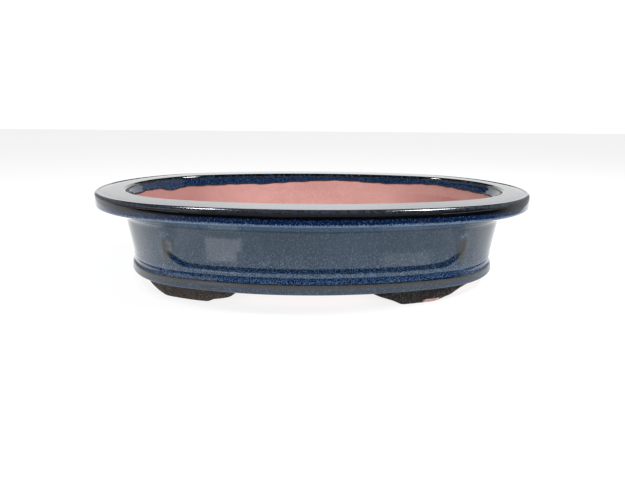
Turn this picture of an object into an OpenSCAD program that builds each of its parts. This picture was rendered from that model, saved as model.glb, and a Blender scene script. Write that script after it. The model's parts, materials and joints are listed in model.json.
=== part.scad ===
// Shallow oval bonsai pot: a rim with a flat flange, a tapered wall with a
// recessed panel on each long side, a base band, a floor with drain holes and
// four cloud-shaped feet. Millimetres, +Z up, X along the pot, front towards
// -Y. The origin is on the surface that the pot stands on, under its middle.
//
// The plan is an oval of four arcs. Each offset below is measured inwards
// from the rim's outer edge, so one cross-section can be swept all the way
// round, and each height is measured up from the ground.

/* [Plan] */
// Overall length across the rim
pot_length = 360; // [352:1:368]
// Overall width across the rim
pot_width = 240; // [236:1:246]
// Radius of the rim's two tight end arcs
end_radius = 108; // [104:1:110]

/* [Heights] */
// Overall height
pot_height = 76; // [74:1:80]
// Height of the feet under the base band
foot_height = 9.8; // [8:0.1:11]
// Top of the base band, where the wall stands on it
band_top = 22; // [20:0.5:24]
// Top of the floor
floor_top = 19.5; // [17:0.5:21]

/* [Rim] */
// Width of the flat flange
flange_width = 26.5; // [25.5:0.5:28]
// Height of the flange's outer face, with its roundings
flange_face = 11.8; // [10:0.2:13]
// Rounding of the flange's edges
flange_round = 2.5; // [1.5:0.1:3]
// Fall of the flange's underside for each millimetre inwards
underside_fall = 0.4; // [0.35:0.01:0.45]

/* [Wall] */
// Offset of the wall's outer face where it meets the base band
wall_foot = 26.3; // [25.5:0.1:27]
// Lean of the wall for each millimetre of height
wall_lean = 0.144; // [0.12:0.002:0.16]
// Width of the cove that joins the wall to the rim's underside
cove_width = 4; // [3:0.5:5]
// Offset of the wall's inner face where it meets the base band
inner_foot = 34; // [33:0.5:36]
// Offset of the wall's inner face where it meets the rim
inner_neck = 28.3; // [28:0.1:29]

/* [Panels] */
// Half the length of a recessed panel
panel_half = 109; // [100:1:112]
// Depth of the recess
panel_depth = 2.8; // [2:0.1:3.2]
// Height of the sill's outer edge
sill_height = 26.6; // [25:0.2:29]
// Rise of the sill from its outer edge to the panel
sill_rise = 1.6; // [1:0.1:3]
// Radius of the panel's lower corners
panel_corner = 12; // [8:1:15]
// Thickness of the lip that the recess leaves under the rim
neck_lip = 0.8; // [0.6:0.1:1.2]

/* [Base band] */
// Offset of the band's face
band_offset = 23.6; // [23:0.1:24]
// Rounding of the band's upper and lower edges
band_round = 2; // [1:0.1:2.4]

/* [Feet] */
// Distance of the left feet's middles from the pot's middle
left_foot_x = 94; // [85:1:97]
// Distance of the right feet's middles from the pot's middle
right_foot_x = 79; // [70:1:97]
// Length of a foot
foot_length = 76; // [70:1:80]
// Length of a foot's flat sole
sole_length = 32; // [28:1:36]
// Depth of the shallow shoulder at a foot's inner end
shoulder_depth = 3.6; // [3:0.1:4.5]
// Length of the shoulder
shoulder_length = 16; // [12:1:18]
// Offset of a foot's outer face
foot_offset = 28.5; // [28:0.5:30]
// Thickness of a foot from its outer face inwards
foot_width = 24; // [18:1:28]

/* [Floor holes] */
// Diameter of the two drain holes
drain_d = 26; // [20:1:30]
// Distance of a drain hole from the pot's middle
drain_x = 68; // [60:1:75]
// Diameter of the four tie-wire holes
wire_d = 6; // [4:0.5:8]
// Distance of a tie-wire hole from the pot's middle, along the pot
wire_x = 36; // [30:1:40]
// Distance of a tie-wire hole from the pot's middle, across the pot
wire_y = 40; // [30:1:45]

/* [Hidden] */
$fn = 240;

// How far a cutter reaches past what it cuts
reach = 30;
// Steps in a small rounding
round_steps = 5;
// Colours of the glaze, the bare clay and the feet
glaze_navy = [0.13, 0.19, 0.30];
bare_clay = [0.70, 0.45, 0.42];
foot_brown = [0.20, 0.17, 0.16];

// The long arcs' centres lie past the middle, on the other side of the pot
end_centre = pot_length / 2 - end_radius;
width_gain = pot_width / 2 - end_radius;
side_centre = (pow(end_centre, 2) - pow(width_gain, 2)) / (2 * width_gain);
side_radius = side_centre + pot_width / 2;
side_half_angle = atan(end_centre / side_centre);

// The wall's outer face and the flange's underside are both straight lines
function wall_offset(h) = wall_foot - wall_lean * (h - band_top);
function underside(offset) =
    pot_height - flange_face - underside_fall * (offset - flange_round);
// Where those two lines cross, and where the cove leaves each of them
corner_offset = (wall_foot + wall_lean * (band_top - pot_height + flange_face
    - underside_fall * flange_round)) / (1 - wall_lean * underside_fall);
neck_offset = corner_offset - cove_width;
neck_height = underside(neck_offset);
cove_bottom = underside(corner_offset) - cove_width;

// The ledge between the wall's foot and the band slopes at 45 degrees
ledge = wall_foot - band_offset;
// Inner face of the wall between the band and the rim
inner_lean = (inner_foot - inner_neck) / (neck_height - band_top);

// Points of a circular arc from one angle to another
function arc(centre, radius, from, to, steps = round_steps) =
    [for (i = [0:steps]) let (a = from + (to - from) * i / steps)
        centre + radius * [cos(a), sin(a)]];
// Points of the curve that leaves a towards b and reaches c from b
function bend(a, b, c, steps = round_steps) =
    [for (i = [0:steps]) let (t = i / steps)
        pow(1 - t, 2) * a + 2 * t * (1 - t) * b + t * t * c];

// Sweep a cross-section, drawn as [offset, height], round a whole circle
module ring(centre, radius) {
    translate(centre)
        rotate_extrude()
            translate([radius, 0])
                mirror([1, 0])
                    children();
}

// Sweep a cross-section right round the oval. The rings meet on the lines that
// join a long arc's centre to the end arcs' centres.
module oval_sweep() {
    far = 2 * [end_centre, side_centre] - [0, side_centre];
    for (side = [-1, 1])
        intersection() {
            ring([0, -side * side_centre, 0], side_radius)
                children();
            linear_extrude(pot_height + reach)
                polygon([[0, -side * side_centre], [far[0], side * far[1]],
                         [-far[0], side * far[1]]]);
        }
    for (side = [-1, 1])
        intersection() {
            ring([side * end_centre, 0, 0], end_radius)
                children();
            linear_extrude(pot_height + reach)
                polygon([[side * end_centre, 0], [side * far[0], far[1]],
                         [side * pot_length, far[1]], [side * pot_length, -far[1]],
                         [side * far[0], -far[1]]]);
        }
}

// Solid oval at one offset, standing from height low to height high
module oval_plate(offset, low, high) {
    seam = (side_radius - offset) * sin(side_half_angle);
    translate([0, 0, low])
        linear_extrude(high - low)
            intersection() {
                translate([0, -side_centre])
                    circle(side_radius - offset);
                translate([0, side_centre])
                    circle(side_radius - offset);
                square([2 * seam, pot_width], center = true);
            }
    for (side = [0, 180])
        rotate([0, 0, side])
            translate([0, 0, low])
                linear_extrude(high - low)
                    intersection() {
                        translate([end_centre, 0])
                            circle(end_radius - offset);
                        translate([seam, -pot_width / 2])
                            square([pot_length / 2, pot_width]);
                    }
}

// Flanged rim with a flat top, a rounded edge and a sloping underside
module rim() {
    r = flange_round;
    top = pot_height;
    low = pot_height - flange_face;
    color(glaze_navy)
        oval_sweep()
            polygon(concat(
                arc([r, low + r], r, 270, 180),
                arc([r, top - r], r, 180, 90),
                arc([flange_width - r, top - r], r, 90, 0),
                [[inner_neck, neck_height], [neck_offset, neck_height]]));
}

// Tapered wall, coved into the rim and recessed by a panel on each long side
module body_wall() {
    neck = [neck_offset, neck_height];
    corner = [corner_offset, underside(corner_offset)];
    cove_end = [wall_offset(cove_bottom), cove_bottom];
    color(glaze_navy)
        difference() {
            oval_sweep()
                polygon(concat(
                    bend(neck, corner, cove_end),
                    [[wall_foot, band_top], [inner_foot, band_top],
                     [inner_neck, neck_height]]));
            for (side = [-1, 1])
                intersection() {
                    ring([0, -side * side_centre, 0], side_radius)
                        panel_recess();
                    panel_windows();
                }
        }
}

// Cross-section of the clay that a panel's recess takes away. It leaves a lip
// under the rim, which carries the rim's underside down to the panel.
module panel_recess() {
    panel_top = corner_offset + panel_depth;
    panel_foot = sill_height + sill_rise;
    sill_back = [wall_offset(panel_foot) + panel_depth, panel_foot];
    sill_edge = [wall_offset(sill_height), sill_height];
    // The sill's slope runs on past the wall's face, so the cut is clean
    sill_end = 2 * sill_edge - sill_back;
    polygon([
        [panel_top, underside(panel_top) - neck_lip],
        sill_back,
        sill_end,
        [0, sill_end[1]],
        [0, neck_height - neck_lip],
        [neck_offset, neck_height - neck_lip]]);
}

// The outline of both panels, with round lower corners, carried through the pot
module panel_windows() {
    foot = sill_height - sill_rise / 2;
    r = panel_corner;
    right = arc([panel_half - r, foot + r], r, 0, -90);
    left = arc([-panel_half + r, foot + r], r, 270, 180);
    rotate([90, 0, 0])
        linear_extrude(2 * pot_width, center = true)
            polygon(concat([[-panel_half, pot_height], [panel_half, pot_height]],
                right, left));
}

// Band round the foot of the pot, with a sloping ledge under the wall
module base_band() {
    r = band_round;
    ledge_foot = band_top - ledge;
    color(glaze_navy)
        oval_sweep()
            polygon(concat(
                [[inner_foot, foot_height]],
                arc([band_offset + r, foot_height + r], r, 270, 180),
                arc([band_offset + r, ledge_foot - r / 2], r, 180, 135),
                [[wall_foot, band_top], [inner_foot, band_top]]));
}

// Floor inside the band, pierced for drainage and for tie wires
module floor_slab() {
    color(bare_clay)
        difference() {
            oval_plate(inner_foot, foot_height, floor_top);
            for (x = [-drain_x, drain_x])
                floor_hole(x, 0, drain_d);
            for (x = [-wire_x, wire_x], y = [-wire_y, wire_y])
                floor_hole(x, y, wire_d);
        }
}

module floor_hole(x, y, d) {
    translate([x, y, foot_height - reach])
        cylinder(h = 2 * reach + floor_top, d = d);
}

// One foot: an outline across the wall's direction, cut to the oval's curve.
// x is its middle's signed distance along the pot; side is -1 at the front.
module foot(x, side) {
    path_radius = side_radius - foot_offset;
    turn = asin(x / path_radius);
    color(foot_brown)
        intersection() {
            oval_sweep()
                translate([foot_offset, 0])
                    square([foot_width, foot_height]);
            translate([0, -side * side_centre, 0])
                rotate([0, 0, -side * turn])
                    translate([0, side * (path_radius - foot_width / 2), 0])
                        rotate([90, 0, 0])
                            linear_extrude(foot_width + reach, center = true)
                                mirror([x < 0 ? 1 : 0, 0])
                                    foot_outline();
        }
}

// Cloud outline: a shoulder towards the pot's middle, a flat sole, and a long
// rounded end away from it. It runs on a little above the foot's top.
module foot_outline() {
    top = foot_height + 1;
    inner = -foot_length / 2 - 1;
    outer = foot_length / 2 + 1;
    shoulder = foot_height - shoulder_depth;
    shoulder_end = inner + shoulder_length;
    sole_start = -sole_length / 2;
    sole_end = sole_length / 2;
    step = [(shoulder_end + sole_start) / 2, shoulder / 2];
    polygon(concat(
        bend([inner, top], [inner + 2, shoulder], [inner + 8, shoulder]),
        bend([shoulder_end, shoulder], [step[0] - 1, shoulder], step),
        bend(step, [step[0] + 1, 0], [sole_start, 0]),
        bend([sole_end, 0], [sole_end + 9, 0.5], [outer, top])));
}

module foot_front_left() { foot(-left_foot_x, -1); }
module foot_front_right() { foot(right_foot_x, -1); }
module foot_back_left() { foot(-left_foot_x, 1); }
module foot_back_right() { foot(right_foot_x, 1); }

rim();
body_wall();
base_band();
floor_slab();
foot_front_left();
foot_front_right();
foot_back_left();
foot_back_right();
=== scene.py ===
import json
import math

import bpy
import numpy as np
from mathutils import Matrix, Vector
from mathutils.geometry import delaunay_2d_cdt

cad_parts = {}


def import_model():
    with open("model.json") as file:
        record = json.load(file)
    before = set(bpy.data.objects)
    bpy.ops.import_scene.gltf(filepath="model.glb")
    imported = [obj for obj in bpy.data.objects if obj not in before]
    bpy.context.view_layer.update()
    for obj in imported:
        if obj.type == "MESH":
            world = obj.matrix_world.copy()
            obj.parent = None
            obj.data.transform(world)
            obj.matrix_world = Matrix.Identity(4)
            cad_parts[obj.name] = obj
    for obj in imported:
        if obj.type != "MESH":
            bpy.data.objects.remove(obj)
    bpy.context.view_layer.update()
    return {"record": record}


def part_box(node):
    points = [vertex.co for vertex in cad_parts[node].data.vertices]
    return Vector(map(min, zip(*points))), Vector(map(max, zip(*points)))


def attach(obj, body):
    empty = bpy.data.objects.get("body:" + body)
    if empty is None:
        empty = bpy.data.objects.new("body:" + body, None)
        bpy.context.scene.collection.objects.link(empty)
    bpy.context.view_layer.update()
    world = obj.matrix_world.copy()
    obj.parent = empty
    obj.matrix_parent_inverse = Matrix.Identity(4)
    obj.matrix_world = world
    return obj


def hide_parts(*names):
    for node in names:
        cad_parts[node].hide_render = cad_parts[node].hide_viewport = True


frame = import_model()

MM = 0.001


def low(node):
    """Lowest corner of a CAD node's box, in millimetres."""
    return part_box(node)[0] / MM


def high(node):
    """Highest corner of a CAD node's box, in millimetres."""
    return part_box(node)[1] / MM


# Sizes that the frame gives
POT_LENGTH = high("rim").x - low("rim").x
POT_WIDTH = high("rim").y - low("rim").y
POT_TOP = high("rim").z
NECK = (high("rim").x - high("body_wall").x, low("rim").z)
BAND_TOP = low("body_wall").z
BAND_FOOT = low("base_band").z
BAND_OFFSET = high("rim").x - high("base_band").x
INNER_FOOT = high("rim").x - high("floor_slab").x
FLOOR_TOP = high("floor_slab").z

# Plan: half the turn of a long side, and the turn over which it tightens
SIDE_TURN = math.radians(18.9)
TURN_BLEND = math.radians(8)
COLUMNS = 720

# Rim section: a short lower edge, a face that leans in near its top, and a
# flange that is narrower at the pot's ends, most of all at the right
FLANGE_WIDTH = 26.5
FLANGE_NARROWS = (4.8, 1.7)
FLANGE_ROUND = 2.5
FLANGE_UNDER = 64.2
UNDERSIDE_FALL = 0.4
LOWER_ROUND = 1.2
UPPER_ROUND = 2.6
FACE_LEAN = math.radians(8)
LEAN_START = 70
INNER_NECK = 28.3

# Fall of the flange's top at the pot's ends, and the offset where it starts
TOP_FALL = 0.55
TOP_FALL_START = 11

# Wall section
WALL_FOOT = 26.3
WALL_LEAN = 0.144
COVE = 4
FLOOR_FILLET = 6

# Recessed panels on the long sides
PANEL_HALF = 110.5
PANEL_DEPTH = 2.8
PANEL_FOOT = 25.5
PANEL_CORNER = 18
SILL_RISE = (3.2, 4.6)
END_WIDTH = (7.5, 14)

# Swelling of the bar under a panel, of the post at each of its ends and of its knob
BAR_SWELL = 0.35
POST_SWELL = 0.35
KNOB_SWELL = 0.5
KNOB_HEIGHT = 49.5

# Base band: the ledge curves out and down to where the face starts
LEDGE_FOOT = 15.8
BAND_ROUND = 2
BAND_LEAN = 0.3
# How much less the band stands out at the pot's ends
END_RECESS = 1.3

# Floor: rounding of the holes, columns between its outline's points, and grid step
HOLE_LIP = 1.2
FLOOR_STEP = 6
GRID_STEP = 7.0

# Feet: height along one as a share of its own, from its inner end to its outer
# end. FOOT_INSET and OUTER_REACH shift the two ends outwards from the CAD box.
FOOT_BACK = 52.5
FOOT_OFFSET = {"left": 28, "right": 25.5}
FOOT_OUTLINES = {
    "left": [(0, 1.0), (0.031, 0.75), (0.08, 0.49), (0.148, 0.37), (0.238, 0.235), (0.30, 0),
             (0.75, 0), (0.85, 0.275), (0.93, 0.6), (1, 1.0)],
    "right": [(0, 1.0), (0.05, 0.77), (0.124, 0.56), (0.195, 0.36), (0.276, 0.04), (0.32, 0),
              (0.62, 0), (0.66, 0.04), (0.724, 0.19), (0.81, 0.35), (0.872, 0.59), (0.928, 0.79),
              (1, 1.0)],
}
FOOT_INSET = {"left": 7.8, "right": 7.1}
OUTER_REACH = {"left": 5.2, "right": 2.8}
FOOT_POINTS = 120
FOOT_ROUND = 1.1
# Least height of a foot, at its two ends
FOOT_THIN = 0.12
# Share along the front right foot where its clay is rubbed bare
WORN_SPOT = 0.60

# Glaze on the outside: foot of the rim's face, top of the glaze gathered above
# it, depth of the thin upper edge, and the ridge where the band's ledge ends
FACE_FOOT = 64.9
GATHER_TOP = 71.3
THIN_EDGE = 3.4
RIDGE_TOP = 17.9
RIDGE_FOOT = 14.4

# Glaze on the inside of the rim
DRIP_HEIGHT = 66.8
# Share of the way round from the right end, width as a share, and rise
DRIP_LOBES = [(0.00, 0.02, 0.9), (0.105, 0.04, 2.0), (0.22, 0.045, 2.6), (0.305, 0.015, -1.0),
              (0.37, 0.05, -1.1), (0.425, 0.012, -2.6), (0.465, 0.02, 0.6), (0.525, 0.02, 2.2),
              (0.60, 0.03, -0.8), (0.68, 0.04, 1.6), (0.77, 0.02, -1.4), (0.84, 0.04, 1.2),
              (0.93, 0.02, -1.8)]
GLAZE_COAT = 0.35
DRIP_BEAD = 0.22
# Distance past the glaze's edge that stands for far from it, either way
GLAZED = -9
UNGLAZED = 9

# Handmade unevenness of the outer skin
WAVER = 0.22

# Share of painted shade that darkens the clay inside the pot's left and right ends
PAINTED_END_SHADES = (0.66, 0.38)

# Camera: place in metres, lens and sensor in millimetres, turns in degrees
CAMERA_PLACE = (-0.01108, -0.41098, 0.13026)
FOCAL_LENGTH = 27.244
SENSOR_WIDTH = 36
CAMERA_DIP = 13.934
CAMERA_PAN = -1.52407
CAMERA_ROLL = 0.50993

# Strength of the sky as the camera, matt surfaces and gloss see it, and of the
# table that the gloss reflects
SKY_SEEN = 1.05
SKY_LIGHT = 0.23
SKY_GLOSS = 0.014
TABLE_GLOW = 0.86


# ---------------------------------------------------------------- small tools

def smooth(t):
    """0 below 0, 1 above 1, and an even S between them."""
    t = np.clip(t, 0, 1)
    return t * t * (3 - 2 * t)


def bump_at(value, centre, width):
    """A rounded hump, 1 at centre, that fades out over about width."""
    return np.exp(-((value - centre) / width) ** 2)


def line(a, b, step):
    """Points from a to b, both included, about step apart."""
    a = np.asarray(a, float)
    b = np.asarray(b, float)
    count = max(1, round(float(np.linalg.norm(b - a)) / step))
    return a + (b - a) * np.linspace(0, 1, count + 1)[:, None]


def arc(centre, radius, start, end, step):
    """Points of a circular arc between two angles in degrees."""
    count = max(2, round(math.radians(abs(end - start)) * radius / step))
    turn = np.radians(np.linspace(start, end, count + 1))
    return np.asarray(centre) + radius * np.stack([np.cos(turn), np.sin(turn)], 1)


def join(*runs):
    """One list of points from several, without the points that repeat."""
    points = np.concatenate(runs)
    gap = np.linalg.norm(np.diff(points, axis=0), axis=1)
    return points[np.concatenate([[True], gap > 1e-6])]


def add(name, data):
    """A new object in the scene, made of a mesh, a light or a camera."""
    thing = bpy.data.objects.new(name, data)
    bpy.context.scene.collection.objects.link(thing)
    return thing


# ------------------------------------------------------------------- the plan

def quarter_plan():
    """Normal angle, x, y and arc length along the plan's first quarter."""
    turn = np.linspace(0, math.pi / 2, 6001)
    from_side = math.pi / 2 - turn
    side = smooth((SIDE_TURN + TURN_BLEND - from_side) / (2 * TURN_BLEND))

    def total(values):
        steps = (values[1:] + values[:-1]) / 2 * np.diff(turn)
        return np.concatenate([[0], np.cumsum(steps)])

    # The two radii that make the curve end at half the length and half the width
    along = [total((1 - side) * np.sin(turn))[-1], total(side * np.sin(turn))[-1]]
    across = [total((1 - side) * np.cos(turn))[-1], total(side * np.cos(turn))[-1]]
    radii = np.linalg.solve([along, across], [POT_LENGTH / 2, POT_WIDTH / 2])
    radius = radii[0] * (1 - side) + radii[1] * side
    x = POT_LENGTH / 2 - total(radius * np.sin(turn))
    y = total(radius * np.cos(turn))
    return turn, x, y, total(radius)


QUARTER = quarter_plan()
ROUND = 4 * QUARTER[3][-1]


def plan(s):
    """Position and outward normal of the rim's edge, s along it from +X."""
    s = np.mod(np.asarray(s, float), ROUND)
    lower = s > ROUND / 2
    s = np.where(lower, ROUND - s, s)
    left = s > ROUND / 4
    s = np.where(left, ROUND / 2 - s, s)
    flip_x = np.where(left, -1, 1)
    flip_y = np.where(lower, -1, 1)
    turn, x, y, length = QUARTER
    angle = np.interp(s, length, turn)
    point = np.stack([flip_x * np.interp(s, length, x), flip_y * np.interp(s, length, y)], -1)
    normal = np.stack([flip_x * np.cos(angle), flip_y * np.sin(angle)], -1)
    return point, normal


COLUMN_S = np.arange(COLUMNS) * ROUND / COLUMNS
COLUMN_POINT, COLUMN_NORMAL = plan(COLUMN_S)


def waver(height):
    """Unevenness of the skin at each column, up to WAVER either way."""
    u = 2 * math.pi * COLUMN_S / ROUND
    wave = (np.sin(5 * u + 0.6 + height * 0.05) + 0.7 * np.sin(9 * u + 2.1 - height * 0.03)
            + 0.5 * np.sin(17 * u + 4.0 + height * 0.09) + 0.25 * np.sin(31 * u + 1.0))
    most = 1 + 0.7 + 0.5 + 0.25
    return WAVER * wave / most


# ----------------------------------------------------------------- the meshes

def solid(points, faces, slot, node, material, sharp=None, values=None):
    """One closed piece from points in millimetres, standing for a CAD node."""
    name = node + "_fired"
    mesh = bpy.data.meshes.new(name)
    mesh.from_pydata((np.asarray(points) * MM).tolist(), [], [tuple(face) for face in faces])
    mesh.shade_smooth()
    for key, value in (values or {}).items():
        held = mesh.attributes.new(key, "FLOAT", "POINT")
        held.data.foreach_set("value", np.asarray(value, np.float32).ravel())
    if sharp is not None:
        ends = np.empty(2 * len(mesh.edges), np.int32)
        mesh.edges.foreach_get("vertices", ends)
        held = mesh.attributes.new("sharp_edge", "BOOLEAN", "EDGE")
        held.data.foreach_set("value", sharp(ends.reshape(-1, 2)))
    mesh.materials.append(material)
    mesh.validate()
    piece = add(name, mesh)
    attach(piece, "root")
    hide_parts(node)
    return piece


def ring(offset, height, sharp_rows, **rest):
    """A closed ring round the pot. Rows of offset and height go round the section."""
    rows = len(offset)
    flat = COLUMN_POINT[None] - offset[..., None] * COLUMN_NORMAL[None]
    points = np.concatenate([flat, height[..., None]], -1).reshape(-1, 3)
    row = np.arange(rows)[:, None] * COLUMNS
    next_row = (np.arange(rows)[:, None] + 1) % rows * COLUMNS
    column = np.arange(COLUMNS)[None]
    next_column = (column + 1) % COLUMNS
    faces = np.stack([row + column, next_row + column, next_row + next_column,
                      row + next_column], -1).reshape(-1, 4)
    # A section that runs clockwise is turned, so that its faces look outwards
    across, up = offset[:, 0], height[:, 0]
    if np.sum(across * np.roll(up, -1) - np.roll(across, -1) * up) < 0:
        faces = faces[:, ::-1]

    def sharp(ends):
        same = ends[:, 0] // COLUMNS == ends[:, 1] // COLUMNS
        return same & np.isin(ends[:, 0] // COLUMNS, sharp_rows)

    return solid(points, faces, sharp=sharp, **rest)


def spread(section):
    """A section's offsets and heights, the same at every column."""
    ones = np.ones(COLUMNS)
    return section[:, :1] * ones, section[:, 1:] * ones


def nearest_row(section, point):
    """Index of the section's point that is nearest to a point."""
    return int(np.argmin(np.linalg.norm(section - np.asarray(point), axis=1)))


# ----------------------------------------------------------- where things are

def underside(offset):
    """Height of the flange's sloping underside."""
    return FLANGE_UNDER - UNDERSIDE_FALL * (offset - FLANGE_ROUND)


def wall_face(height):
    """Offset of the end walls' straight face."""
    return WALL_FOOT - WALL_LEAN * (height - BAND_TOP)


def drip_line():
    """Height at each column where the glaze inside the rim stops: slow lobes and runs."""
    share = COLUMN_S / ROUND
    height = np.full(COLUMNS, DRIP_HEIGHT)
    for centre, width, rise in DRIP_LOBES:
        height += rise * bump_at(share, centre, width)
    ripple = 0.22 * np.sin(80 * math.pi * share + 2.6) + 0.1 * np.sin(146 * math.pi * share)
    return height + ripple


def painted_end_shade(height):
    """How much painted shade darkens the clay inside: high up round the ends, most at the left."""
    end = COLUMN_NORMAL[:, 0]
    round_end = smooth((np.abs(end) - 0.12) / 0.5) * np.where(end < 0, *PAINTED_END_SHADES)
    return smooth((height - 24) / 24) * round_end


def rim_section():
    """The rim's section, and the rows where its top flat starts and its inside ends."""
    slope = math.degrees(math.atan(UNDERSIDE_FALL))
    low_centre = (LOWER_ROUND, underside(LOWER_ROUND)
                  + LOWER_ROUND * math.hypot(1, UNDERSIDE_FALL))
    under_end = arc(low_centre, LOWER_ROUND, 270 - slope, 180, 1)[0]
    # Above LEAN_START the face curves in, so it meets the upper round at FACE_LEAN
    lean_end = POT_TOP - UPPER_ROUND * (1 - math.sin(FACE_LEAN))
    rise = np.arange(LEAN_START, lean_end, 0.35)
    curl = math.tan(FACE_LEAN) / (2 * (lean_end - LEAN_START))
    leaning = np.stack([curl * (rise - LEAN_START) ** 2, rise], 1)
    lean_in = curl * (lean_end - LEAN_START) ** 2
    up_centre = (lean_in + UPPER_ROUND * math.cos(FACE_LEAN), POT_TOP - UPPER_ROUND)
    r = FLANGE_ROUND
    inner_neck = (INNER_NECK, NECK[1])
    section = join(
        line(NECK, under_end, 0.8),
        arc(low_centre, LOWER_ROUND, 270 - slope, 180, 0.3),
        line((0, low_centre[1]), (0, LEAN_START), 0.6),
        leaning,
        arc(up_centre, UPPER_ROUND, 180 - math.degrees(FACE_LEAN), 90, 0.25),
        line((up_centre[0], POT_TOP), (FLANGE_WIDTH - r, POT_TOP), 1.4),
        arc((FLANGE_WIDTH - r, POT_TOP - r), r, 90, 0, 0.35),
        line((FLANGE_WIDTH, POT_TOP - r), inner_neck, 0.55),
        line(inner_neck, NECK, 4)[:-1])
    return section, nearest_row(section, (up_centre[0], POT_TOP)), nearest_row(section, inner_neck)


def rim(material):
    """The flanged rim, glazed outside and part of the way down inside."""
    section, top_start, inside_end = rim_section()
    offset, height = spread(section)
    row = np.arange(len(section))[:, None]
    inner = (row >= top_start) & (row <= inside_end)
    inside = inner & (offset > FLANGE_WIDTH - 0.01)

    # The flange narrows towards the pot's ends
    along = COLUMN_NORMAL[:, 0]
    narrow = along ** 2 * (FLANGE_NARROWS[0] + FLANGE_NARROWS[1] * along)
    share = np.clip((offset - 3) / (FLANGE_WIDTH - 5), 0, 1)
    share = share * np.clip((height - NECK[1]) / (POT_TOP - FLANGE_ROUND - NECK[1]), 0, 1)
    offset = offset - np.where(inner, share * narrow, 0)

    # Its top falls away a little towards the outer edge there
    upper = (height > POT_TOP - 1) & inner
    fall = TOP_FALL * along ** 2 * smooth((TOP_FALL_START - offset) / 10)
    height = height - np.where(upper, fall, 0)

    # Glaze stands a little proud of the clay inside, and thickest at its edge
    above = height - drip_line()
    coat = GLAZE_COAT * smooth(above / 0.8 + 0.5)
    bead = DRIP_BEAD * bump_at(above, 0.9, 0.9)
    offset = offset + np.where(inside, (coat + bead) * smooth((POT_TOP - 3 - height) / 3), 0)
    offset = offset + waver(height) * np.where(inner, smooth((16 - offset) / 10), 1)
    return ring(offset, height, [0, inside_end],
                slot="navy_glaze", node="rim", material=material,
                values=rim_finish(offset, height, above, inner, inside))


def rim_finish(offset, height, above, inner, inside):
    """What the glaze does on the rim's face, inside and elsewhere, with painted highlight and
    shade.
    """
    face = ~inner & (height > FACE_FOOT)
    gather = smooth((GATHER_TOP - height) / 3.2)
    edge = smooth((height - (POT_TOP - THIN_EDGE)) / 1.6)
    # Along the face's lower edge, extra pale flecks: partly the glaze's own, partly a painted
    # highlight for the pale reflection on the lower rounding
    painted_lower_sheen = bump_at(height, FACE_FOOT, 0.7) * ~inner * (offset < 2)

    def zones(on_face, on_inside, elsewhere):
        return np.where(face, on_face, np.where(inside, on_inside, elsewhere))

    # Pale flecks on the face, more near its foot: partly the glaze's own, partly a painted
    # highlight there
    face_flecks_and_sheen = (0.12 + 0.28 * smooth((67.2 - height) / 1.6)) * (1 - edge)
    return {
        "bare": np.where(inside, -above, GLAZED),
        "dark": zones((1 - gather) * (1 - 0.5 * edge), 0.55 * smooth((height - 71.5) / 2),
                      0.6 * inner),
        "thin": zones(0.35 * edge, 0.6 * smooth((height - 72) / 1.5), 0),
        "pool": zones(smooth((height - 65.5) / 1.2) * (1 - 0.7 * edge), 0.8, 0),
        "fleck": zones(face_flecks_and_sheen, 0.15, np.where(inner, 0.15, 0.40)) + 0.22 * painted_lower_sheen,
        # Painted shade on the bare clay inside, round the pot's ends
        "shade": painted_end_shade(height),
    }


def wall_rows():
    """Heights of the wall's outer rows, close together where the shape turns."""
    return join(
        line((0, NECK[1]), (0, 54), 0.3), line((0, 54), (0, 40), 1.0),
        line((0, 40), (0, 33), 0.5), line((0, 33), (0, 24.5), 0.22),
        line((0, 24.5), (0, BAND_TOP), 0.4))[:, 1]


def end_profile(height):
    """Offset of the wall's face at the ends: a cove, then a straight taper."""
    corner = ((WALL_FOOT + WALL_LEAN * (BAND_TOP - underside(0)))
              / (1 - WALL_LEAN * UNDERSIDE_FALL))
    a = np.array([corner - COVE, underside(corner - COVE)])
    b = np.array([corner, underside(corner)])
    c = np.array([wall_face(b[1] - COVE), b[1] - COVE])
    t = np.linspace(0, 1, 60)[:, None]
    cove = (1 - t) ** 2 * a + 2 * t * (1 - t) * b + t * t * c
    curved = np.interp(-height, -cove[:, 1], cove[:, 0])
    return np.where(height > c[1], curved, wall_face(height))


def panel_profile(height):
    """Offset of a panel's face, carried up to the flange's underside."""
    face = wall_face(height) + PANEL_DEPTH
    under = FLANGE_ROUND + (FLANGE_UNDER - height) / UNDERSIDE_FALL
    # The smaller of the two, with a small round where they meet
    blend = 0.5
    share = np.clip(0.5 + (under - face) / (2 * blend), 0, 1)
    return under * (1 - share) + face * share - blend * share * (1 - share)


def panel_foot(along):
    """Height of a panel's lower edge, which curves up at the panel's ends."""
    inward = np.clip(along - (PANEL_HALF - PANEL_CORNER), 0, PANEL_CORNER)
    return PANEL_FOOT + PANEL_CORNER - np.sqrt(PANEL_CORNER ** 2 - inward ** 2)


def panel_mask(rows):
    """1 on a panel's floor, 0 on the wall round it, at each row and column."""
    along = np.abs(COLUMN_POINT[:, 0] - WALL_FOOT * COLUMN_NORMAL[:, 0])[None]
    rise = rows[:, None]
    towards_end = smooth((along - 80) / 20)
    sill = SILL_RISE[0] + (SILL_RISE[1] - SILL_RISE[0]) * towards_end
    upward = smooth((rise - panel_foot(along)) / sill)
    width = END_WIDTH[0] + (END_WIDTH[1] - END_WIDTH[0]) * smooth((rise - 42) / 14)
    return upward * smooth((PANEL_HALF - along) / width), along, rise


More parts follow.
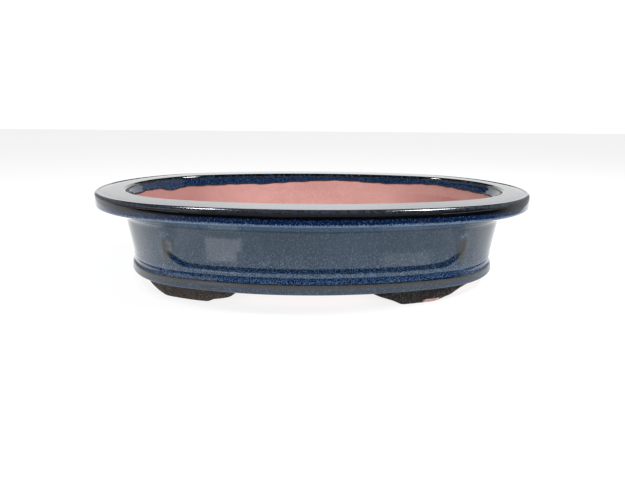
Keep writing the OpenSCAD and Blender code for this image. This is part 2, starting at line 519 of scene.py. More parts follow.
def body_wall(material):
    """The tapered wall, with a recessed panel on each long side."""
    rows = wall_rows()
    mask, along, rise = panel_mask(rows)
    outer = (1 - mask) * end_profile(rows)[:, None] + mask * panel_profile(rows)[:, None]
    # The bar under each panel is rounded like a bead, and a post swells at each end
    bar_middle = (BAND_TOP + PANEL_FOOT) / 2 + 0.4
    outer = outer - BAR_SWELL * bump_at(rows, bar_middle, 1.6)[:, None]
    post = bump_at(along, PANEL_HALF - 0.5, 2.8) * smooth((50 - rise) / 6)
    knob = bump_at(along, PANEL_HALF - 2.5, 2.4) * bump_at(rise, KNOB_HEIGHT, 2.2)
    outer = outer - POST_SWELL * post - KNOB_SWELL * knob
    outer_height = np.repeat(rows[:, None], COLUMNS, 1)
    outer = outer + waver(outer_height)

    base, inside, top = wall_inside()
    rest_offset, rest_height = spread(np.concatenate([base, inside, top]))
    offset = np.concatenate([outer, rest_offset])
    height = np.concatenate([outer_height, rest_height])
    last_outer = len(rows) - 1
    corners = [0, last_outer, last_outer + 1 + len(base), last_outer + len(base) + len(inside)]
    return ring(offset, height, corners,
                slot="navy_glaze", node="body_wall", material=material,
                values=wall_finish(along, rise, knob, rest_height, height))


def wall_inside():
    """The wall's section past its outer face: its base, its inside and its top."""
    fillet_angle = fillet_point(BAND_TOP)[2]
    inside = join(
        arc((INNER_FOOT + FLOOR_FILLET, FLOOR_TOP + FLOOR_FILLET), FLOOR_FILLET,
            fillet_angle, 184, 0.6),
        line((INNER_FOOT - 0.3, FLOOR_TOP + FLOOR_FILLET + 1), (INNER_NECK, NECK[1]), 2.2))
    base = line((WALL_FOOT, BAND_TOP), inside[0], 3)[1:-1]
    top = line((INNER_NECK, NECK[1]), NECK, 4)[1:-1]
    return base, inside, top


def wall_finish(along, rise, knob, rest_height, height):
    """Glaze gathers in the sill's hollow and breaks thin on the posts; clay inside has painted
    shade.
    """
    sill = bump_at(rise, panel_foot(along) + 2.0, 1.5) * smooth((PANEL_HALF - along) / 3)
    low_part = smooth((46 - rise) / 18)
    bar = smooth((27 - rise) / 2)
    thin = bump_at(along, PANEL_HALF - 2.2, 2.8) * smooth((49 - rise) / 5) * smooth((rise - 27) / 6)
    blank = np.zeros_like(rest_height)

    def value(skin, rest=0):
        return np.concatenate([np.broadcast_to(skin, knob.shape), blank + rest])

    return {
        "bare": value(GLAZED, UNGLAZED),
        "dark": value(0),
        "thin": value(0.95 * thin * (1 - knob)),
        "pool": value(np.clip(sill + 0.3 * bar, 0, 1)),
        "fleck": value(0.15 + 0.08 * low_part + 0.10 * bar + 0.25 * knob),
        # Painted shade on the bare clay inside, round the pot's ends
        "shade": painted_end_shade(height),
    }


def fillet_point(height):
    """Offset, height and angle of the fillet inside at a height."""
    rise = (height - FLOOR_TOP - FLOOR_FILLET) / FLOOR_FILLET
    angle = 180 + math.degrees(math.asin(-rise))
    offset = INNER_FOOT + FLOOR_FILLET * (1 + math.cos(math.radians(angle)))
    return offset, height, angle


def band_section():
    """The band's section, its corners, and how many of its points are the ledge."""
    r = BAND_ROUND
    ledge = WALL_FOOT - BAND_OFFSET
    turn = np.radians(np.linspace(90, 180, 16))
    curve = np.stack([WALL_FOOT + ledge * np.cos(turn),
                      LEDGE_FOOT + (BAND_TOP - LEDGE_FOOT) * np.sin(turn)], 1)
    *inner_top, fillet_angle = fillet_point(BAND_TOP)
    face_foot = BAND_OFFSET + BAND_LEAN
    tip = (INNER_FOOT + FLOOR_FILLET, FLOOR_TOP - 0.05)
    section = join(
        curve,
        line((BAND_OFFSET, LEDGE_FOOT), (face_foot, BAND_FOOT + r), 0.5),
        arc((face_foot + r, BAND_FOOT + r), r, 180, 270, 0.3),
        line((face_foot + r, BAND_FOOT), (INNER_FOOT, BAND_FOOT), 2),
        line((INNER_FOOT, BAND_FOOT), (INNER_FOOT, tip[1]), 3),
        line((INNER_FOOT, tip[1]), tip, 3),
        arc((INNER_FOOT + FLOOR_FILLET, FLOOR_TOP + FLOOR_FILLET), FLOOR_FILLET,
            270, fillet_angle, 0.6),
        line(inner_top, (WALL_FOOT, BAND_TOP), 3)[:-1])
    corners = [(WALL_FOOT, BAND_TOP), (INNER_FOOT, BAND_FOOT),
               (INNER_FOOT, tip[1]), tip, inner_top]
    return section, [nearest_row(section, c) for c in corners], len(curve)


def base_band(material):
    """The moulded band round the foot of the wall."""
    section, corners, ledge_count = band_section()
    offset, height = spread(section)
    # Towards the pot's ends the ledge softens into an S, and the band stands out less
    ledge_rows = np.arange(len(section))[:, None] < ledge_count
    at_end = COLUMN_NORMAL[:, 0] ** 2
    share = np.clip((BAND_TOP - height) / (BAND_TOP - LEDGE_FOOT), 0, 1)
    soft = WALL_FOOT - (WALL_FOOT - BAND_OFFSET) * smooth((share - 0.3) / 0.65)
    offset = np.where(ledge_rows, offset + (soft - offset) * at_end, offset)
    stands_out = smooth((BAND_TOP - height) / 4) * smooth((height - 11) / 6)
    recess = END_RECESS * at_end * stands_out
    offset = offset + recess * smooth((INNER_FOOT - 2 - offset) / 4)
    offset = offset + waver(height) * smooth((INNER_FOOT - 2 - offset) / 4)
    return ring(offset, height, corners,
                slot="navy_glaze", node="base_band", material=material,
                values=band_finish(offset, height, at_end))


def band_finish(offset, height, at_end):
    """Glaze gathers on the ledge, breaks tan on the ridge and is dark between them."""
    skin = offset < INNER_FOOT - 4
    below = height < BAND_FOOT + 0.3
    ridge = smooth((RIDGE_TOP - height) / 0.8) * (0.1 + 0.9 * smooth((height - RIDGE_FOOT) / 1.2))
    lowered = height + 3 * at_end
    gathered = smooth((lowered - RIDGE_TOP) / 0.8)
    gathered = gathered * (1 - at_end * smooth((lowered - 22.5) / 1.5))
    gathered = gathered * (1 - 0.6 * at_end ** 2)
    return {
        "bare": np.where(skin, GLAZED, UNGLAZED),
        "dark": 0.85 * bump_at(height, RIDGE_TOP + 0.3, 0.6) * (1 - at_end) + 0.8 * below,
        "thin": np.where(skin, ridge, 0),
        "pool": gathered,
        "fleck": 0.19 + 0.13 * gathered,
    }


# ------------------------------------------------------------------ the floor

def floor_slab(material):
    """Flat floor with rounded holes. Each hole's edge is a stack of circles."""
    outline = COLUMN_POINT[::FLOOR_STEP] - INNER_FOOT * COLUMN_NORMAL[::FLOOR_STEP]
    flat, triangles, circles = floor_plate(outline)
    count = len(flat)
    points = [(p.x, p.y, FLOOR_TOP + floor_rise(p.x, p.y)) for p in flat]
    points += [(p.x, p.y, BAND_FOOT) for p in flat]
    faces = [tuple(t) for t in triangles]
    faces += [tuple(i + count for i in reversed(t)) for t in triangles]
    faces += [(j, i, i + count, j + count) for i, j in loop_edges(0, len(outline))]
    for circle in circles:
        add_hole(circle, count, points, faces)
    return solid(points, faces, slot="bare_clay", node="floor_slab",
                 material=material, sharp=plate_rims(count))


def floor_plate(outline):
    """The plate's flat points and triangles, and a circle for each of its holes."""
    points = [tuple(p) for p in outline]
    edges = loop_edges(0, len(points))
    circles = []
    for mount in frame["record"]["mounts"]:
        if mount["kind"] != "bore":
            continue
        x, y = (v / MM for v in mount["pos_m"][:2])
        radius = mount["dims"]["r_mm"]
        count = 48 if radius > 5 else 24
        turn = np.arange(count) * 2 * math.pi / count
        circles.append((x, y, radius, turn, len(points)))
        edges += loop_edges(len(points), count)
        reach = radius + HOLE_LIP
        points += [(x + reach * math.cos(t), y + reach * math.sin(t)) for t in turn]
    grid = [(x, y) for x in np.arange(-140, 141, GRID_STEP) for y in np.arange(-80, 81, GRID_STEP)]
    vectors = [Vector(p) for p in points + [g for g in grid if inside_floor(g, circles)]]
    flat, _, triangles, _, _, _ = delaunay_2d_cdt(vectors, edges, [], 1, 1e-4)
    return flat, [t for t in triangles if not in_hole(t, flat, circles)], circles


def add_hole(circle, count, points, faces):
    """Adds a hole's rounded wall between the two plates, count points apart."""
    x, y, radius, turn, start = circle
    m = len(turn)
    stack = [start]
    for reach, level in hole_rings(radius):
        stack.append(len(points))
        points += [(x + reach * math.cos(t), y + reach * math.sin(t), level) for t in turn]
    stack.append(start + count)
    for upper, lower in zip(stack, stack[1:]):
        faces += [(upper + i, upper + j, lower + j, lower + i) for i, j in loop_edges(0, m)]


def plate_rims(count):
    """Marks the edges round the slab's outer face, which joins its two plates."""
    def sharp(ends):
        far = np.abs(ends[:, 0] - ends[:, 1])
        edge = COLUMNS // FLOOR_STEP
        level = (ends[:, 0] < edge) & (ends[:, 1] < edge)
        level |= ((ends >= count) & (ends < count + edge)).all(1)
        return level & ((far == 1) | (far == edge - 1))
    return sharp


def loop_edges(start, count):
    """Pairs of neighbours round a closed loop of points."""
    return [(start + i, start + (i + 1) % count) for i in range(count)]


def inside_floor(point, circles):
    """True for a grid point well inside the floor and clear of its holes."""
    near = np.linalg.norm(COLUMN_POINT - INNER_FOOT * COLUMN_NORMAL - point, axis=1)
    k = int(np.argmin(near))
    edge = COLUMN_POINT[k] - INNER_FOOT * COLUMN_NORMAL[k]
    if np.dot(edge - point, COLUMN_NORMAL[k]) < 4:
        return False
    return all(math.hypot(point[0] - x, point[1] - y) > r + HOLE_LIP + 3
               for x, y, r, _, _ in circles)


def in_hole(triangle, flat, circles):
    """True for a triangle that lies inside one of the circles."""
    cx = sum(flat[i].x for i in triangle) / 3
    cy = sum(flat[i].y for i in triangle) / 3
    return any(math.hypot(cx - x, cy - y) < r + HOLE_LIP - 0.05 for x, y, r, _, _ in circles)


def floor_rise(x, y):
    """Slight unevenness of the floor's top."""
    return 0.12 * math.sin(x * 0.07 + 1) * math.sin(y * 0.09 - 0.5)


def hole_rings(radius):
    """Radius and height of the circles down a hole, rounded at both ends."""
    reach = radius + HOLE_LIP
    top = [(reach - HOLE_LIP * math.sin(math.radians(t)),
            FLOOR_TOP - HOLE_LIP + HOLE_LIP * math.cos(math.radians(t)))
           for t in (22.5, 45, 67.5, 90)]
    bottom = [(reach - HOLE_LIP * math.cos(math.radians(t)),
               BAND_FOOT + HOLE_LIP - HOLE_LIP * math.sin(math.radians(t)))
              for t in (0, 22.5, 45, 67.5)]
    return top + bottom


# ------------------------------------------------------------------- the feet

def foot_profile(share, hand):
    """Height of a foot's underside, share from 0 at its inner end to 1 at its outer end."""
    at = [p[0] for p in FOOT_OUTLINES[hand]]
    up = [p[1] for p in FOOT_OUTLINES[hand]]
    blur = np.linspace(-0.02, 0.02, 9)[:, None]
    return BAND_FOOT * np.interp(share + blur, at, up).mean(0)


def foot_columns(node, hand):
    """Plan points and normals along a foot, from its inner end to its outer end."""
    lowest, highest = low(node), high(node)
    side = 1 if lowest.y + highest.y > 0 else -1
    right = hand == "right"
    inner, outer = (lowest.x, highest.x) if right else (-highest.x, -lowest.x)
    quarter = np.linspace(0, ROUND / 4, 4000)
    point, normal = plan(quarter)
    along = (point - FOOT_OFFSET[hand] * normal)[:, 0]
    share = np.linspace(0, 1, FOOT_POINTS)
    inner += FOOT_INSET[hand]
    wanted = inner + (outer + OUTER_REACH[hand] - inner) * share
    path = np.interp(-wanted, -along, quarter)
    path = path if right else ROUND / 2 - path
    path = path if side > 0 else ROUND - path
    point, normal = plan(path)
    return point, normal, share, right == (side > 0)


def foot_rows(share, bottom, uneven, front):
    """Offset and height of the rows round a foot's section, at each share along it."""
    tall = BAND_FOOT - bottom
    r = np.minimum(FOOT_ROUND, tall * 0.45)
    rows = [(np.full_like(share, front), np.full_like(share, BAND_FOOT))]
    # Front, a little hollow, and its rounded lower edge
    for k in np.linspace(0.12, 1, 9):
        belly = 0.5 * uneven - 0.35 * smooth(tall / 6)
        rows.append((front + belly * math.sin(math.pi * k), BAND_FOOT - (tall - r) * k))
    for a in np.radians((22.5, 45, 67.5, 90)):
        rows.append((front + r * (1 - np.cos(a)), bottom + r * (1 - np.sin(a))))
    # Sole, back edge, back and top
    for k in (0.2, 0.4, 0.6, 0.8):
        rows.append((front + r + (FOOT_BACK - front - 2 * r) * k, bottom))
    for a in np.radians((90, 60, 30, 0)):
        rows.append((FOOT_BACK - r * (1 - np.cos(a)), bottom + r * (1 - np.sin(a))))
    rows.append((np.full_like(share, FOOT_BACK), np.full_like(share, BAND_FOOT)))
    for k in (0.75, 0.5, 0.25):
        rows.append((front + (FOOT_BACK - front) * k + 0 * share, BAND_FOOT + 0 * share))
    return np.array([row[0] for row in rows]), np.array([row[1] for row in rows])


def foot(node, material):
    """One foot: its outline swept inwards, with rounded lower edges."""
    hand = "right" if node.endswith("right") else "left"
    point, normal, share, turned = foot_columns(node, hand)
    seed = sum(low(node))
    uneven = 0.3 * np.sin(share * 23 + seed) + 0.2 * np.sin(share * 61 + 2 * seed)
    bottom = np.clip(foot_profile(share, hand) + 0.25 * uneven * np.sin(math.pi * share), 0,
                     BAND_FOOT - FOOT_THIN)
    offset, height = foot_rows(share, bottom, uneven, FOOT_OFFSET[hand])
    flat = point[None] - offset[..., None] * normal[None]
    points = np.concatenate([flat, height[..., None]], -1).reshape(-1, 3)
    columns, count = len(share), len(offset)
    faces = [(i * columns + j, (i + 1) % count * columns + j,
              (i + 1) % count * columns + j + 1, i * columns + j + 1)
             for i in range(count) for j in range(columns - 1)]
    faces.append(tuple(reversed([i * columns for i in range(count)])))
    faces.append(tuple(i * columns + columns - 1 for i in range(count)))
    if turned:
        faces = [face[::-1] for face in faces]

    # Glaze is rubbed off the lower edge, most of all under the front right foot
    low_edge = smooth((bottom[None] + 3.4 - height) / 1.8)
    rubbed = node == "foot_front_right"
    spot = 1.3 * bump_at(share, WORN_SPOT, 0.09) if rubbed else 0.25 * share
    worn = low_edge * (spot + 0.25 * bump_at(share, 0.35, 0.05))
    top_rows = (0, count - 4)

    def sharp(ends):
        same = ends[:, 0] // columns == ends[:, 1] // columns
        return same & np.isin(ends[:, 0] // columns, top_rows)

    return solid(points, faces, slot="foot_glaze", node=node, material=material,
                 sharp=sharp,
                 values={"worn": worn, "brown": np.full_like(worn, hand == "left")})


# -------------------------------------------------------------- the materials

def rgb(red, green, blue):
    return (red, green, blue, 1)


# Glaze: its cloudy body, streaks, gathered pools, flecks, and where it is thin
NAVY = (rgb(0.0045, 0.026, 0.056), rgb(0.0095, 0.036, 0.071))
STREAK = rgb(0.028, 0.056, 0.088)
DEEP_BLUE = rgb(0.0014, 0.0100, 0.042)
FLECKS = (rgb(0.100, 0.168, 0.265), rgb(0.088, 0.190, 0.390))
BROWN_BLACK = rgb(0.0014, 0.0012, 0.0013)
TAN = rgb(0.050, 0.040, 0.031)
GLAZE_EDGE = rgb(0.010, 0.008, 0.010)

# Bare clay: its mottled body, fine grains, and painted shade on the clay round the ends
CLAY = (rgb(0.530, 0.280, 0.254), rgb(0.590, 0.330, 0.302))
PALE_GRAIN = rgb(0.66, 0.40, 0.365)
DARK_GRAIN = rgb(0.36, 0.17, 0.14)
PAINTED_SHADE_CLAY = rgb(0.300, 0.120, 0.110)

# Feet: black on the right, brown on the left, with dark and pale grit
FOOT_BLACK = (rgb(0.002, 0.002, 0.0025), rgb(0.010, 0.009, 0.009))
FOOT_BROWN = (rgb(0.014, 0.011, 0.010), rgb(0.050, 0.037, 0.031))
DARK_GRIT = rgb(0.004, 0.0035, 0.0035)
PALE_GRIT = rgb(0.13, 0.11, 0.10)
PALE_SPECK = rgb(0.22, 0.19, 0.17)


class Nodes:
    """A material's node tree, with short calls for the nodes used here."""

    def __init__(self, name, shader="ShaderNodeBsdfPrincipled"):
        self.material = bpy.data.materials.new(name)
        self.material.use_nodes = True
        self.tree = self.material.node_tree
        self.tree.nodes.clear()
        self.out = self.tree.nodes.new("ShaderNodeOutputMaterial")
        self.shader = self.tree.nodes.new(shader)
        self.link(self.shader.outputs[0], self.out.inputs["Surface"])
        self.place = self.tree.nodes.new("ShaderNodeTexCoord").outputs["Object"]

    def link(self, source, target):
        self.tree.links.new(source, target)

    def feed(self, value, target):
        """Links a socket, or sets a plain number or colour."""
        if isinstance(value, bpy.types.NodeSocket):
            self.link(value, target)
        else:
            target.default_value = value

    def attribute(self, name):
        node = self.tree.nodes.new("ShaderNodeAttribute")
        node.attribute_name = name
        return node.outputs["Fac"]

    def scaled(self, scale):
        """Object coordinates, scaled alike along each axis or by three numbers."""
        node = self.tree.nodes.new("ShaderNodeMapping")
        node.inputs["Scale"].default_value = scale if isinstance(scale, tuple) else (scale,) * 3
        self.link(self.place, node.inputs["Vector"])
        return node.outputs["Vector"]

    def noise(self, scale, detail=3, rough=0.5):
        """Noise with its own scale along each axis, in features per metre."""
        node = self.tree.nodes.new("ShaderNodeTexNoise")
        self.link(self.scaled(scale), node.inputs["Vector"])
        node.inputs["Scale"].default_value = 1
        node.inputs["Detail"].default_value = detail
        node.inputs["Roughness"].default_value = rough
        return node.outputs["Fac"]

    def ragged(self, scale, width, detail=3, rough=0.6):
        """Noise that swings about 0, to set an uneven border."""
        swing = self.math("SUBTRACT", self.noise(scale, detail, rough), 0.5)
        return self.math("MULTIPLY", swing, width)

    def cells(self, scale):
        """Distance to scattered points."""
        node = self.tree.nodes.new("ShaderNodeTexVoronoi")
        self.link(self.scaled(scale), node.inputs["Vector"])
        node.inputs["Scale"].default_value = 1
        return node.outputs["Distance"]

    def math(self, kind, *values):
        node = self.tree.nodes.new("ShaderNodeMath")
        node.operation = kind
        for value, target in zip(values, node.inputs):
            self.feed(value, target)
        return node.outputs[0]

    def vector(self, kind, *values):
        node = self.tree.nodes.new("ShaderNodeVectorMath")
        node.operation = kind
        for value, target in zip(values, node.inputs):
            self.feed(value, target)
        return node.outputs[0]

    def ramp(self, value, start, end, low_value=0.0, high_value=1.0):
        """A smooth step from low_value to high_value as value crosses start to end."""
        node = self.tree.nodes.new("ShaderNodeMapRange")
        node.interpolation_type = "SMOOTHSTEP"
        self.feed(value, node.inputs["Value"])
        node.inputs["From Min"].default_value = start
        node.inputs["From Max"].default_value = end
        node.inputs["To Min"].default_value = low_value
        node.inputs["To Max"].default_value = high_value
        return node.outputs["Result"]

    def mix(self, share, a, b):
        node = self.tree.nodes.new("ShaderNodeMix")
        node.data_type = "RGBA"
        self.feed(share, node.inputs[0])
        self.feed(a, node.inputs[6])
        self.feed(b, node.inputs[7])
        return node.outputs[2]

    def bump(self, height, strength, distance, before=None):
        node = self.tree.nodes.new("ShaderNodeBump")
        node.inputs["Strength"].default_value = strength
        node.inputs["Distance"].default_value = distance
        self.feed(height, node.inputs["Height"])
        if before is not None:
            self.link(before, node.inputs["Normal"])
        return node.outputs["Normal"]


def clay_colour(n):
    """Bare stoneware: dusty pink, mottled, with darker and paler grains, and painted shade at the
    ends.
    """
    broad = n.noise((28, 28, 40), 4, 0.6)
    fine = n.noise(700, 3, 0.6)
    grains = n.cells(700)
    colour = n.mix(n.ramp(broad, 0.35, 0.68), *CLAY)
    colour = n.mix(n.ramp(fine, 0.45, 0.7, 0, 0.5), colour, PALE_GRAIN)
    colour = n.mix(n.ramp(grains, 0.16, 0.08, 0, 0.55), colour, DARK_GRAIN)
    # Painted shade: the clay darkens round the pot's ends, where its walls turn from the light
    return n.mix(n.attribute("shade"), colour, PAINTED_SHADE_CLAY)


def glaze_body(n, pool):
    """Cloudy navy, finely streaked where it ran and deepest where it gathers."""
    cloud = n.noise((60, 60, 40), 3, 0.55)
    colour = n.mix(n.ramp(cloud, 0.35, 0.68), *NAVY)
    streaks = n.ramp(n.noise((1300, 1300, 240), 3, 0.6), 0.42, 0.66, 0, 0.35)
    colour = n.mix(streaks, colour, STREAK)
    return n.mix(pool, colour, DEEP_BLUE)


def add_flecks(n, colour, pool):
    """Pale blue flecks, a little longer down the pot than round it."""
    amount = n.attribute("fleck")
    grain = n.noise((1350, 1350, 850), 2, 0.7)
    level = n.math("MULTIPLY_ADD", amount, 0.42, -0.64)
    shown = n.ramp(n.math("ADD", grain, level), -0.05, 0.08)
    shown = n.math("MULTIPLY", shown, n.ramp(amount, 0.12, 0.26, 0.5, 1.0))
    return n.mix(shown, colour, n.mix(pool, *FLECKS))


def glaze_material():
    """Navy gloss glaze, steered by the values that each glazed piece carries."""
    n = Nodes("navy_glaze")
    pool = n.attribute("pool")
    colour = add_flecks(n, glaze_body(n, pool), pool)

    # Brown-black where the glaze is thin over the rim's face
    black = n.ramp(n.math("ADD", n.attribute("dark"), n.ragged((420, 420, 300), 1.1)), 0.38, 0.66)
    colour = n.mix(n.math("MULTIPLY", black, 0.97), colour, BROWN_BLACK)

    # Tan where the glaze breaks over an edge
    edge_noise = n.noise((520, 520, 300), 3, 0.6)
    breaks = n.math("MULTIPLY", n.attribute("thin"), n.ramp(edge_noise, 0.30, 0.62, 0.45, 1.0))
    colour = n.mix(breaks, colour, TAN)

    # Bare clay inside, past the glaze's dark edge
    past = n.math("ADD", n.attribute("bare"), n.ragged(330, 0.9, 2, 0.5))
    edge = n.math("MULTIPLY", n.ramp(past, -1.1, -0.25), n.ramp(past, 0.9, 0.2))
    unglazed = n.ramp(past, -0.12, 0.12)
    colour = n.mix(unglazed, colour, clay_colour(n))
    colour = n.mix(n.math("MULTIPLY", edge, 0.95), colour, GLAZE_EDGE)
    n.link(colour, n.shader.inputs["Base Color"])

    # Glossy, a little less so where thin, and matt on bare clay
    rough = n.math("MULTIPLY_ADD", breaks, 0.3, 0.055)
    n.link(n.math("MULTIPLY_ADD", unglazed, 0.72, rough), n.shader.inputs["Roughness"])
    n.shader.inputs["IOR"].default_value = 1.66
    peel = n.bump(n.noise((150, 150, 120), 2, 0.4), 0.12, 0.00035)
    grain = n.math("MULTIPLY", n.noise(900, 3, 0.6), unglazed)
    n.link(n.bump(grain, 0.8, 0.0003, peel), n.shader.inputs["Normal"])
    return n.material


def clay_material():
    """Bare clay of the floor."""
    n = Nodes("bare_clay")
    n.link(clay_colour(n), n.shader.inputs["Base Color"])
    n.shader.inputs["Roughness"].default_value = 0.86
    n.shader.inputs["IOR"].default_value = 1.45
    grain = n.noise(900, 3, 0.6)
    broad = n.noise(120, 3, 0.5)
    n.link(n.bump(grain, 0.8, 0.0003, n.bump(broad, 0.5, 0.0006)), n.shader.inputs["Normal"])
    return n.material


def foot_material():
    """Thin dark glaze over gritty clay, rubbed through to the clay in places."""
    n = Nodes("foot_glaze")
    blotch = n.noise(95, 4, 0.65)
    fine = n.noise(900, 3, 0.7)
    specks = n.cells(800)
    black = n.mix(n.ramp(blotch, 0.40, 0.60), *FOOT_BLACK)
    brown = n.mix(n.ramp(blotch, 0.36, 0.60), *FOOT_BROWN)
    colour = n.mix(n.attribute("brown"), black, brown)
    colour = n.mix(n.ramp(fine, 0.47, 0.36, 0, 0.8), colour, DARK_GRIT)
    colour = n.mix(n.ramp(fine, 0.52, 0.66, 0, 0.75), colour, PALE_GRIT)
    colour = n.mix(n.ramp(specks, 0.18, 0.08, 0, 0.6), colour, PALE_SPECK)
    rubbed = n.ramp(n.math("ADD", n.attribute("worn"), n.ragged(260, 1.2)), 0.42, 0.60)
    colour = n.mix(rubbed, colour, clay_colour(n))
    n.link(colour, n.shader.inputs["Base Color"])
    n.link(n.ramp(blotch, 0.35, 0.65, 0.38, 0.75), n.shader.inputs["Roughness"])
    n.shader.inputs["IOR"].default_value = 1.5
    n.shader.inputs["Specular IOR Level"].default_value = 0.3
    pits = n.noise(260, 3, 0.6)
    n.link(n.bump(fine, 0.8, 0.0006, n.bump(pits, 0.8, 0.0015)), n.shader.inputs["Normal"])
    return n.material


# ------------------------------------------------------------------ the stage

def card(name, corners, strength, bright=()):
    """A glowing card that only reflections see.

    bright holds soft-edged patches: centre, half size, width of the edge, extra glow.
    """
    mesh = bpy.data.meshes.new(name)
    mesh.from_pydata(corners, [], [tuple(range(len(corners)))])
    n = Nodes(name, "ShaderNodeEmission")
    total = strength
    for centre, half, edge, extra in bright:
        total = n.math("ADD", patch(n, centre, half, edge, extra), total)
    n.feed(total, n.shader.inputs["Strength"])
    mesh.materials.append(n.material)
    board = add(name, mesh)
    board.visible_camera = False
    board.visible_diffuse = False
    board.visible_shadow = False


def patch(n, centre, half, edge, extra):
    """Extra brightness inside a box round centre, fading out over edge."""
    away = n.vector("ABSOLUTE", n.vector("SUBTRACT", n.place, centre))
    split = n.tree.nodes.new("ShaderNodeSeparateXYZ")
    n.link(away, split.inputs[0])
    for axis, reach in enumerate(half):
        extra = n.math("MULTIPLY", n.ramp(split.outputs[axis], reach + edge, reach), extra)
    return extra


def ground():
    """Pale floor, lit from within like a light table, so shadows stay faint."""
    mesh = bpy.data.meshes.new("ground")
    size = 6
    mesh.from_pydata([(-size, -size, 0), (size, -size, 0), (size, size, 0), (-size, size, 0)],
                     [], [(0, 1, 2, 3)])
    material = bpy.data.materials.new("ground")
    material.use_nodes = True
    shader = material.node_tree.nodes["Principled BSDF"]
    shader.inputs["Base Color"].default_value = rgb(0.22, 0.22, 0.22)
    shader.inputs["Roughness"].default_value = 0.9
    shader.inputs["Specular IOR Level"].default_value = 0.0
    shader.inputs["Emission Color"].default_value = rgb(1, 1, 1)
    shader.inputs["Emission Strength"].default_value = 0.84
    mesh.materials.append(material)
    add("ground", mesh)


def world():
    """White to the camera, soft light to matt surfaces, dim in reflections."""
    scene = bpy.context.scene
    scene.world = bpy.data.worlds.new("studio")
    scene.world.use_nodes = True
    tree = scene.world.node_tree
    tree.nodes.clear()
    out = tree.nodes.new("ShaderNodeOutputWorld")
    path = tree.nodes.new("ShaderNodeLightPath")

    def even(strength):
        shade = tree.nodes.new("ShaderNodeBackground")
        shade.inputs["Color"].default_value = rgb(1, 1, 1)
        shade.inputs["Strength"].default_value = strength
        return shade.outputs[0]

    def choose(test, no, yes):
        pick = tree.nodes.new("ShaderNodeMixShader")
        tree.links.new(path.outputs[test], pick.inputs[0])
        tree.links.new(no, pick.inputs[1])
        tree.links.new(yes, pick.inputs[2])
        return pick.outputs[0]

    unseen = choose("Is Glossy Ray", even(SKY_LIGHT), even(SKY_GLOSS))
    tree.links.new(choose("Is Camera Ray", unseen, even(SKY_SEEN)), out.inputs["Surface"])


def softbox(name, place, target, width, height, power):
    """A rectangular light of a size in metres and a power in watts."""
    light = bpy.data.lights.new(name, "AREA")
    light.shape = "RECTANGLE"
    light.size = width
    light.size_y = height
    light.energy = power
    box = add(name, light)
    box.location = place
    aim = Vector(target) - Vector(place)
    box.rotation_euler = aim.to_track_quat("-Z", "Y").to_euler()
    box.visible_camera = False
    return box


def window(name, corners, outside, inside):
    """A lit patch on the table, in steps from its edge inwards, so its edge is soft."""
    middle = np.mean(corners, axis=0)
    steps = 4
    for k in range(steps):
        shape = middle + (np.asarray(corners) - middle) * (1.12 - 0.08 * k)
        level = 0.0007 + 0.0001 * k
        card(name, [(x, y, level) for x, y in shape.tolist()],
             outside + (inside - outside) * (k + 1) / steps)


def upright(a, b, bottom, top):
    """Corners of a card that stands on the line from a to b."""
    return [(*a, bottom), (*b, bottom), (*b, top), (*a, top)]


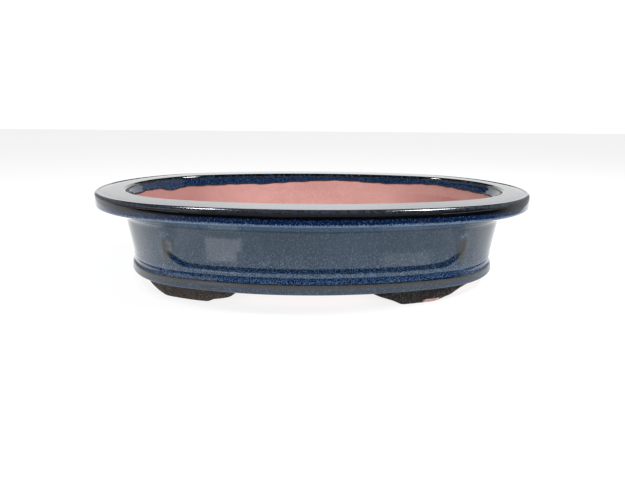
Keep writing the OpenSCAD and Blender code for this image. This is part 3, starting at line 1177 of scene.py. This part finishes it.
def reflections():
    """What the gloss reflects: bright table, dark room in front, white behind."""
    lift = 0.0006
    table = [(-0.5, -0.5, lift), (0.5, -0.5, lift), (0.5, 0.6, lift), (-0.5, 0.6, lift)]
    card("bright_table", table, TABLE_GLOW,
         [((-0.33, 0, 0), (0.11, 0.4, 1), 0.12, 0.5),
          ((0.36, 0.05, 0), (0.11, 0.3, 1), 0.10, 0.4)])
    window("left_window", [(-0.145, -0.150), (-0.096, -0.170), (-0.086, -0.149),
                           (-0.093, -0.147), (-0.083, -0.130), (-0.115, -0.117)],
           TABLE_GLOW, 1.95)
    window("right_window", [(0.082, -0.147), (0.138, -0.125), (0.121, -0.110),
                            (0.073, -0.129)], TABLE_GLOW, 1.25)
    # The room beyond the table is dark in front and brighter at both sides
    lift = 0.0012
    card("dark_room", [(-0.34, -0.30, lift), (-0.5, -0.1, lift), (-0.5, 1.2, lift),
                       (-1.9, 1.2, lift), (-1.9, -1.2, lift), (1.9, -1.2, lift),
                       (1.9, 1.2, lift), (0.5, 1.2, lift), (0.5, -0.1, lift),
                       (0.36, -0.30, lift), (0.25, -0.36, lift), (-0.25, -0.36, lift)], 0.01,
         [((-1.0, 0.37, 0), (0.62, 0.5, 1), 0.34, 0.9),
          ((1.0, 0.6, 0), (0.62, 0.5, 1), 0.40, 0.45)])
    card("back_floor", [(-1.7, 0.6, lift), (1.7, 0.6, lift), (1.7, 1.8, lift), (-1.7, 1.8, lift)],
         0.35)
    card("left_front", upright((-1.4, -0.5), (-0.9, -1.2), 0.1, 0.6), 0.7)
    card("far_front", upright((-1.2, -1.2), (1.2, -1.2), 0, 0.20), 0.25)
    card("bright_back", upright((-1.7, 1.8), (1.7, 1.8), 0.05, 0.95), 1.2,
         [((0.0, 1.8, 0.9), (0.2, 1, 0.45), 0.4, 0.2)])
    for x in (-1.4, 1.4):
        card("side_wall", upright((x, -0.5), (x, 1.8), 0, 1.2), 0.35)


def stage():
    """Floor, sky, reflection cards and three softboxes."""
    ground()
    world()
    reflections()
    left = softbox("left_box", (-0.60, -0.24, 1.14), (-0.076, -0.112, 0.076), 0.12, 0.20, 7)
    right = softbox("right_box", (0.66, -0.26, 1.09), (0.079, -0.112, 0.076), 0.34, 0.20, 16)
    fill = softbox("front_fill", (0.0, -1.5, 0.75), (0, 0.1, 0.03), 0.8, 0.5, 6)
    fill.visible_glossy = False
    left.data.diffuse_factor = 0.08
    right.data.diffuse_factor = 0.02


def camera():
    """A camera a little above the rim, in front of the pot."""
    lens = bpy.data.cameras.new("camera")
    lens.sensor_width = SENSOR_WIDTH
    lens.lens = FOCAL_LENGTH
    lens.clip_start = 0.01
    view = add("camera", lens)
    turn = (Matrix.Rotation(math.radians(CAMERA_PAN), 4, "Z")
            @ Matrix.Rotation(math.radians(90 - CAMERA_DIP), 4, "X")
            @ Matrix.Rotation(math.radians(CAMERA_ROLL), 4, "Z"))
    view.matrix_world = Matrix.Translation(CAMERA_PLACE) @ turn
    bpy.context.scene.camera = view


glaze = glaze_material()
clay = clay_material()
foot_finish = foot_material()
rim(glaze)
body_wall(glaze)
base_band(glaze)
floor_slab(clay)
for name in ("foot_front_left", "foot_front_right", "foot_back_left", "foot_back_right"):
    foot(name, foot_finish)
stage()
camera()
bpy.context.scene.view_settings.view_transform = "Standard"
